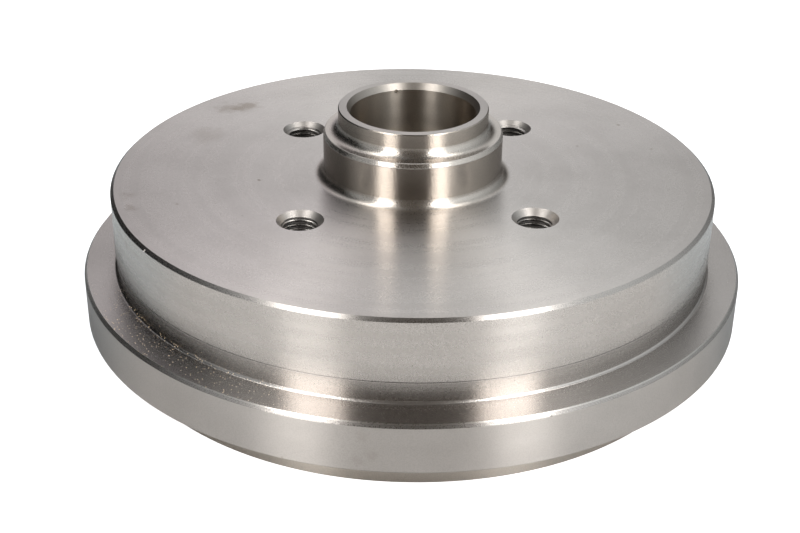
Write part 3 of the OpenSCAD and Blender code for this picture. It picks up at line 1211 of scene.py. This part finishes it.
# Distances over which the floor is painted cooler and darker beside the drum, as painted shade,
# and darker close behind it, as a painted shadow
FLOOR_PAINTED_SIDE_SHADE = (0.1, 0.14)
FLOOR_REAR = (-0.07, 0.0)
FLOOR_PAINTED_SHADOW = (0.145, 0.12)
# The backdrop: its lower edge, which lifts towards the left and bends forward overhead
BACKDROP_EDGE = 0.98
BACKDROP_LIFT = (0.5, 1.0)
BACKDROP_BEND = 1.7
BACKDROP_LEFT = (-0.6, -0.95, 0.0, 0.24)
BACKDROP_SPREAD = (0.35, 0.75, 0.07, 0.5)
BACKDROP_INNER = 0.6
OVERHEAD = (0.8, 0.985)
OVERHEAD_LEVEL = 0.05
# The panel on the right, which is brightest near the camera
PANEL_DEPTH = (-0.85, 0.75)
PANEL_FAR_SHARE = 0.2
PANEL_SIDE = (0.42, 0.62)
PANEL_TOP = (0.62, 0.96, 1.0, 0.0)
# The light that comes past the left strip, and the room behind the camera
SPILL_SIDE = (-0.45, -0.7)
SPILL_DEPTH = (0.1, -0.35)
SPILL_LEVEL = 0.5
ROOM_DEPTH = (-0.6, -0.9)
ROOM_LEVEL = 0.11
# Where the tints of the surroundings change
PALE_LEVEL = (0.0, 0.4)
TINT_LEFT = (-0.25, -0.75)
TINT_RIGHT = (0.4, 0.8)
TINT_BACK_LEFT = (0.0, -0.15)
TINT_BACK_DEPTH = (0.6, 0.9)
# Each strip lamp from one end to the other, as elevation and azimuth away from the camera in
# degrees, with its shares of the brightness and of the width
STRIP_SIDES = (("left", -1.0), ("right", 1.0))
STRIP_PARTS = (
    ("low", (-4.0, 36.0), (12.0, 31.0), 1.05, 1.0),
    ("front", (13.0, 30.0), (58.0, 49.0), 1.0, 1.0),
    ("top", (58.0, 49.0), (61.0, 122.0), 0.72, 0.75),
)
STRIP_CENTRE = (0.0, 0.0, 0.05)


def camera_matrix(studio, face_z):
    """Where the photographer's camera stood, from its place round the wheel face."""
    azimuth, elevation = studio.camera_azimuth, studio.camera_elevation
    level = Vector((math.cos(azimuth), math.sin(azimuth), 0.0))
    away = level * math.cos(elevation) + Vector((0.0, 0.0, math.sin(elevation)))
    forward = -away
    right = Vector((-math.sin(azimuth), math.cos(azimuth), 0.0))
    down = forward.cross(right)
    turn = (
        Matrix.Rotation(studio.camera_roll, 3, "Z")
        @ Matrix.Rotation(studio.camera_tilt, 3, "X")
        @ Matrix.Rotation(studio.camera_pan, 3, "Y")
    )
    aim = turn @ Matrix((right, down, forward))
    pose = Matrix((aim[0], -aim[1], -aim[2])).transposed().to_4x4()
    pose.translation = away * studio.camera_distance + Vector((0.0, 0.0, face_z))
    return pose


def make_camera(studio, face_z):
    """The scene's camera."""
    lens = bpy.data.cameras.new("photo_camera")
    lens.sensor_fit = "HORIZONTAL"
    lens.sensor_width = SENSOR_WIDTH
    lens.lens = studio.camera_lens
    lens.clip_start, lens.clip_end = CLIP_RANGE
    camera = new_object("photo_camera", lens)
    camera.matrix_world = camera_matrix(studio, face_z)
    bpy.context.scene.camera = camera


def floor_glow(n):
    """How much of the floor's white is its own: to the camera, and in reflections and glass."""
    path = n.add("ShaderNodeLightPath").outputs
    mirrored = n.most(path["Is Glossy Ray"], path["Is Transmission Ray"])
    return n.most(n.times(mirrored, MIRROR_GLOW), n.times(path["Is Camera Ray"], CAMERA_GLOW))


def floor_colour(n, studio):
    """The floor's white, painted cooler and darker beside the drum as painted shade, and darker
    close behind its sides as a painted shadow.
    """
    across, along, _ = n.parts(n.place())
    near, far = FLOOR_PAINTED_SIDE_SHADE
    aside = n.plus(n.ramp(across, near, far), n.ramp(across, -near, -far))
    rear = n.ramp(along, *FLOOR_REAR)
    # Painted shade: the floor beside the drum is darker and cooler
    painted_side_shade = n.mix(n.times(aside, rear), studio.floor, studio.floor_aside)
    # Painted shadow: the floor close behind the drum's sides is darker
    close = n.times(n.ramp(n.flat_length(across, along), *FLOOR_PAINTED_SHADOW), rear)
    return n.mix(close, painted_side_shade, studio.floor_close)


def make_floor(studio):
    """A plain pale floor, whose underside is clear so that the drum shows from below."""
    mesh = bpy.data.meshes.new("floor")
    half = studio.floor_size / 2
    mesh.from_pydata(
        [(-half, -half, 0.0), (half, -half, 0.0), (half, half, 0.0), (-half, half, 0.0)],
        [], [(0, 1, 2, 3)],
    )
    floor = new_object("floor", mesh)
    material, n = new_material("Pale floor")
    n.tree.nodes.clear()
    matt = n.add("ShaderNodeBsdfDiffuse", floor_colour(n, studio))
    glow = n.add("ShaderNodeEmission", WHITE, floor_glow(n))
    lit = n.add("ShaderNodeAddShader", matt.outputs[0], glow.outputs[0])
    clear = n.add("ShaderNodeBsdfTransparent", WHITE)
    below = n.add("ShaderNodeNewGeometry").outputs["Backfacing"]
    one_sided = n.add("ShaderNodeMixShader", below, lit.outputs[0], clear.outputs[0])
    n.add("ShaderNodeOutputMaterial", one_sided.outputs[0])
    mesh.materials.append(material)


def backdrop_light(n, aside, behind, up, studio):
    """The backdrop, which stands behind the drum and bends forward overhead."""
    lift = n.ramp(up, *BACKDROP_LIFT, smooth=False)
    edge = n.minus(BACKDROP_EDGE, n.times(n.times(lift, lift), BACKDROP_BEND))
    edge = n.plus(edge, n.ramp(aside, *BACKDROP_LEFT))
    spread = n.ramp(up, *BACKDROP_SPREAD)
    backdrop = n.ramp(
        n.minus(behind, edge), n.times(spread, -1.0), n.times(spread, BACKDROP_INNER),
        0.0, studio.backdrop_level,
    )
    return n.mix(n.ramp(up, *OVERHEAD), backdrop, OVERHEAD_LEVEL, kind="FLOAT")


def panel_light(n, aside, behind, up, studio):
    """The panel on the right."""
    near_level = studio.panel_level
    far_level = PANEL_FAR_SHARE * near_level
    panel = n.ramp(behind, *PANEL_DEPTH, near_level, far_level, smooth=False)
    return n.times(n.times(panel, n.ramp(aside, *PANEL_SIDE)), n.ramp(up, *PANEL_TOP))


def make_surroundings(studio):
    """White to the camera; to the drum, a backdrop, a panel on the right and a dark left side."""
    world = bpy.data.worlds.new("studio")
    bpy.context.scene.world = world
    world.use_nodes = True
    n = Nodes(world.node_tree)
    n.tree.nodes.clear()
    direction = n.add("ShaderNodeTexCoord").outputs["Generated"]
    turn = -(studio.camera_azimuth + 0.5 * math.pi)
    turned = n.add(
        "ShaderNodeVectorRotate", rotation_type="Z_AXIS",
        named={"Vector": direction, "Angle": turn},
    )
    right, back, up = n.parts(turned.outputs[0])
    level_length = n.flat_length(right, back)
    aside = n.over(right, level_length)
    behind = n.over(back, level_length)

    spill = n.times(n.ramp(aside, *SPILL_SIDE), n.ramp(behind, *SPILL_DEPTH))
    light = n.most(
        backdrop_light(n, aside, behind, up, studio),
        panel_light(n, aside, behind, up, studio),
        n.times(spill, SPILL_LEVEL),
        n.times(n.ramp(behind, *ROOM_DEPTH), ROOM_LEVEL),
        studio.dark_level,
    )
    tint = n.mix(n.ramp(light, *PALE_LEVEL), studio.dark_tint, studio.pale_tint)
    beside = n.plus(n.ramp(aside, *TINT_LEFT), n.ramp(aside, *TINT_RIGHT))
    tint = n.mix(beside, tint, studio.side_tint)
    left_back = n.times(n.ramp(aside, *TINT_BACK_LEFT), n.ramp(behind, *TINT_BACK_DEPTH))
    tint = n.mix(left_back, tint, studio.back_tint)
    seen = n.add("ShaderNodeLightPath").outputs["Is Camera Ray"]
    shade = n.add(
        "ShaderNodeBackground", n.mix(seen, tint, WHITE), n.mix(seen, light, 1.0, kind="FLOAT")
    )
    n.add("ShaderNodeOutputWorld", shade.outputs[0])


def direction_at(elevation, azimuth):
    """The unit vector at an elevation and an azimuth in degrees, where the camera is at zero."""
    height, around = math.radians(elevation), math.radians(azimuth)
    return Vector((
        math.sin(around) * math.cos(height), -math.cos(around) * math.cos(height),
        math.sin(height),
    ))


def make_strips(studio):
    """A strip lamp on each side, that rises in front and bends back over the drum."""
    camera_turn = studio.camera_azimuth + 0.5 * math.pi
    studio_turn = Matrix.Rotation(camera_turn + studio.strip_swing, 3, "Z")
    for side_name, side in STRIP_SIDES:
        for part_name, start, end, level, width in STRIP_PARTS:
            first = direction_at(start[0], side * start[1])
            last = direction_at(end[0], side * end[1])
            toward = studio_turn @ (first + last).normalized()
            across = studio_turn @ first.cross(last).normalized()
            data = bpy.data.lights.new(f"strip_{side_name}_{part_name}", "AREA")
            data.shape = "RECTANGLE"
            data.size = 2 * studio.strip_distance * math.tan(first.angle(last) / 2)
            data.size_y = studio.strip_width * width
            data.energy = studio.strip_power * level * data.size * data.size_y
            data.color = studio.strip_tint
            lamp = new_object(data.name, data)
            pose = Matrix((across.cross(toward), across, toward)).transposed().to_4x4()
            pose.translation = Vector(STRIP_CENTRE) + toward * studio.strip_distance
            lamp.matrix_world = pose
            lamp.visible_camera = False


class DRUM_OT_make_stage(bpy.types.Operator):
    """Makes the camera, the floor, the surroundings and the lamps"""

    bl_idname = "drum.make_stage"
    bl_label = "Make the stage"

    def execute(self, context):
        scene = context.scene
        studio, rim = scene.drum_studio, scene.drum_rim
        make_camera(studio, rim.lip_h + rim.flange_t + rim.wall_h)
        make_floor(studio)
        make_surroundings(studio)
        make_strips(studio)
        scene.view_settings.view_transform = "Standard"
        return {"FINISHED"}


class DRUM_PT_sidebar(bpy.types.Panel):
    """Lists the operators and the settings of the drum"""

    bl_idname = "DRUM_PT_sidebar"
    bl_label = "Brake drum"
    bl_space_type = "VIEW_3D"
    bl_region_type = "UI"
    bl_category = "Brake drum"

    def draw(self, context):
        for operator in OPERATORS:
            self.layout.operator(operator.bl_idname)
        for name, group in SETTINGS.items():
            box = self.layout.box()
            box.label(text=group.__doc__)
            for field in group.__annotations__:
                box.prop(getattr(context.scene, name), field)


OPERATORS = (DRUM_OT_make_stage, DRUM_OT_make_drum)
CLASSES = (*SETTINGS.values(), *OPERATORS, DRUM_PT_sidebar)


def register():
    for item in CLASSES:
        bpy.utils.register_class(item)
    for name, group in SETTINGS.items():
        setattr(bpy.types.Scene, name, PointerProperty(type=group))


def unregister():
    for name in SETTINGS:
        delattr(bpy.types.Scene, name)
    for item in reversed(CLASSES):
        bpy.utils.unregister_class(item)


def main():
    register()
    bpy.ops.drum.make_stage()
    bpy.ops.drum.make_drum()


if __name__ == "__main__":
    main()
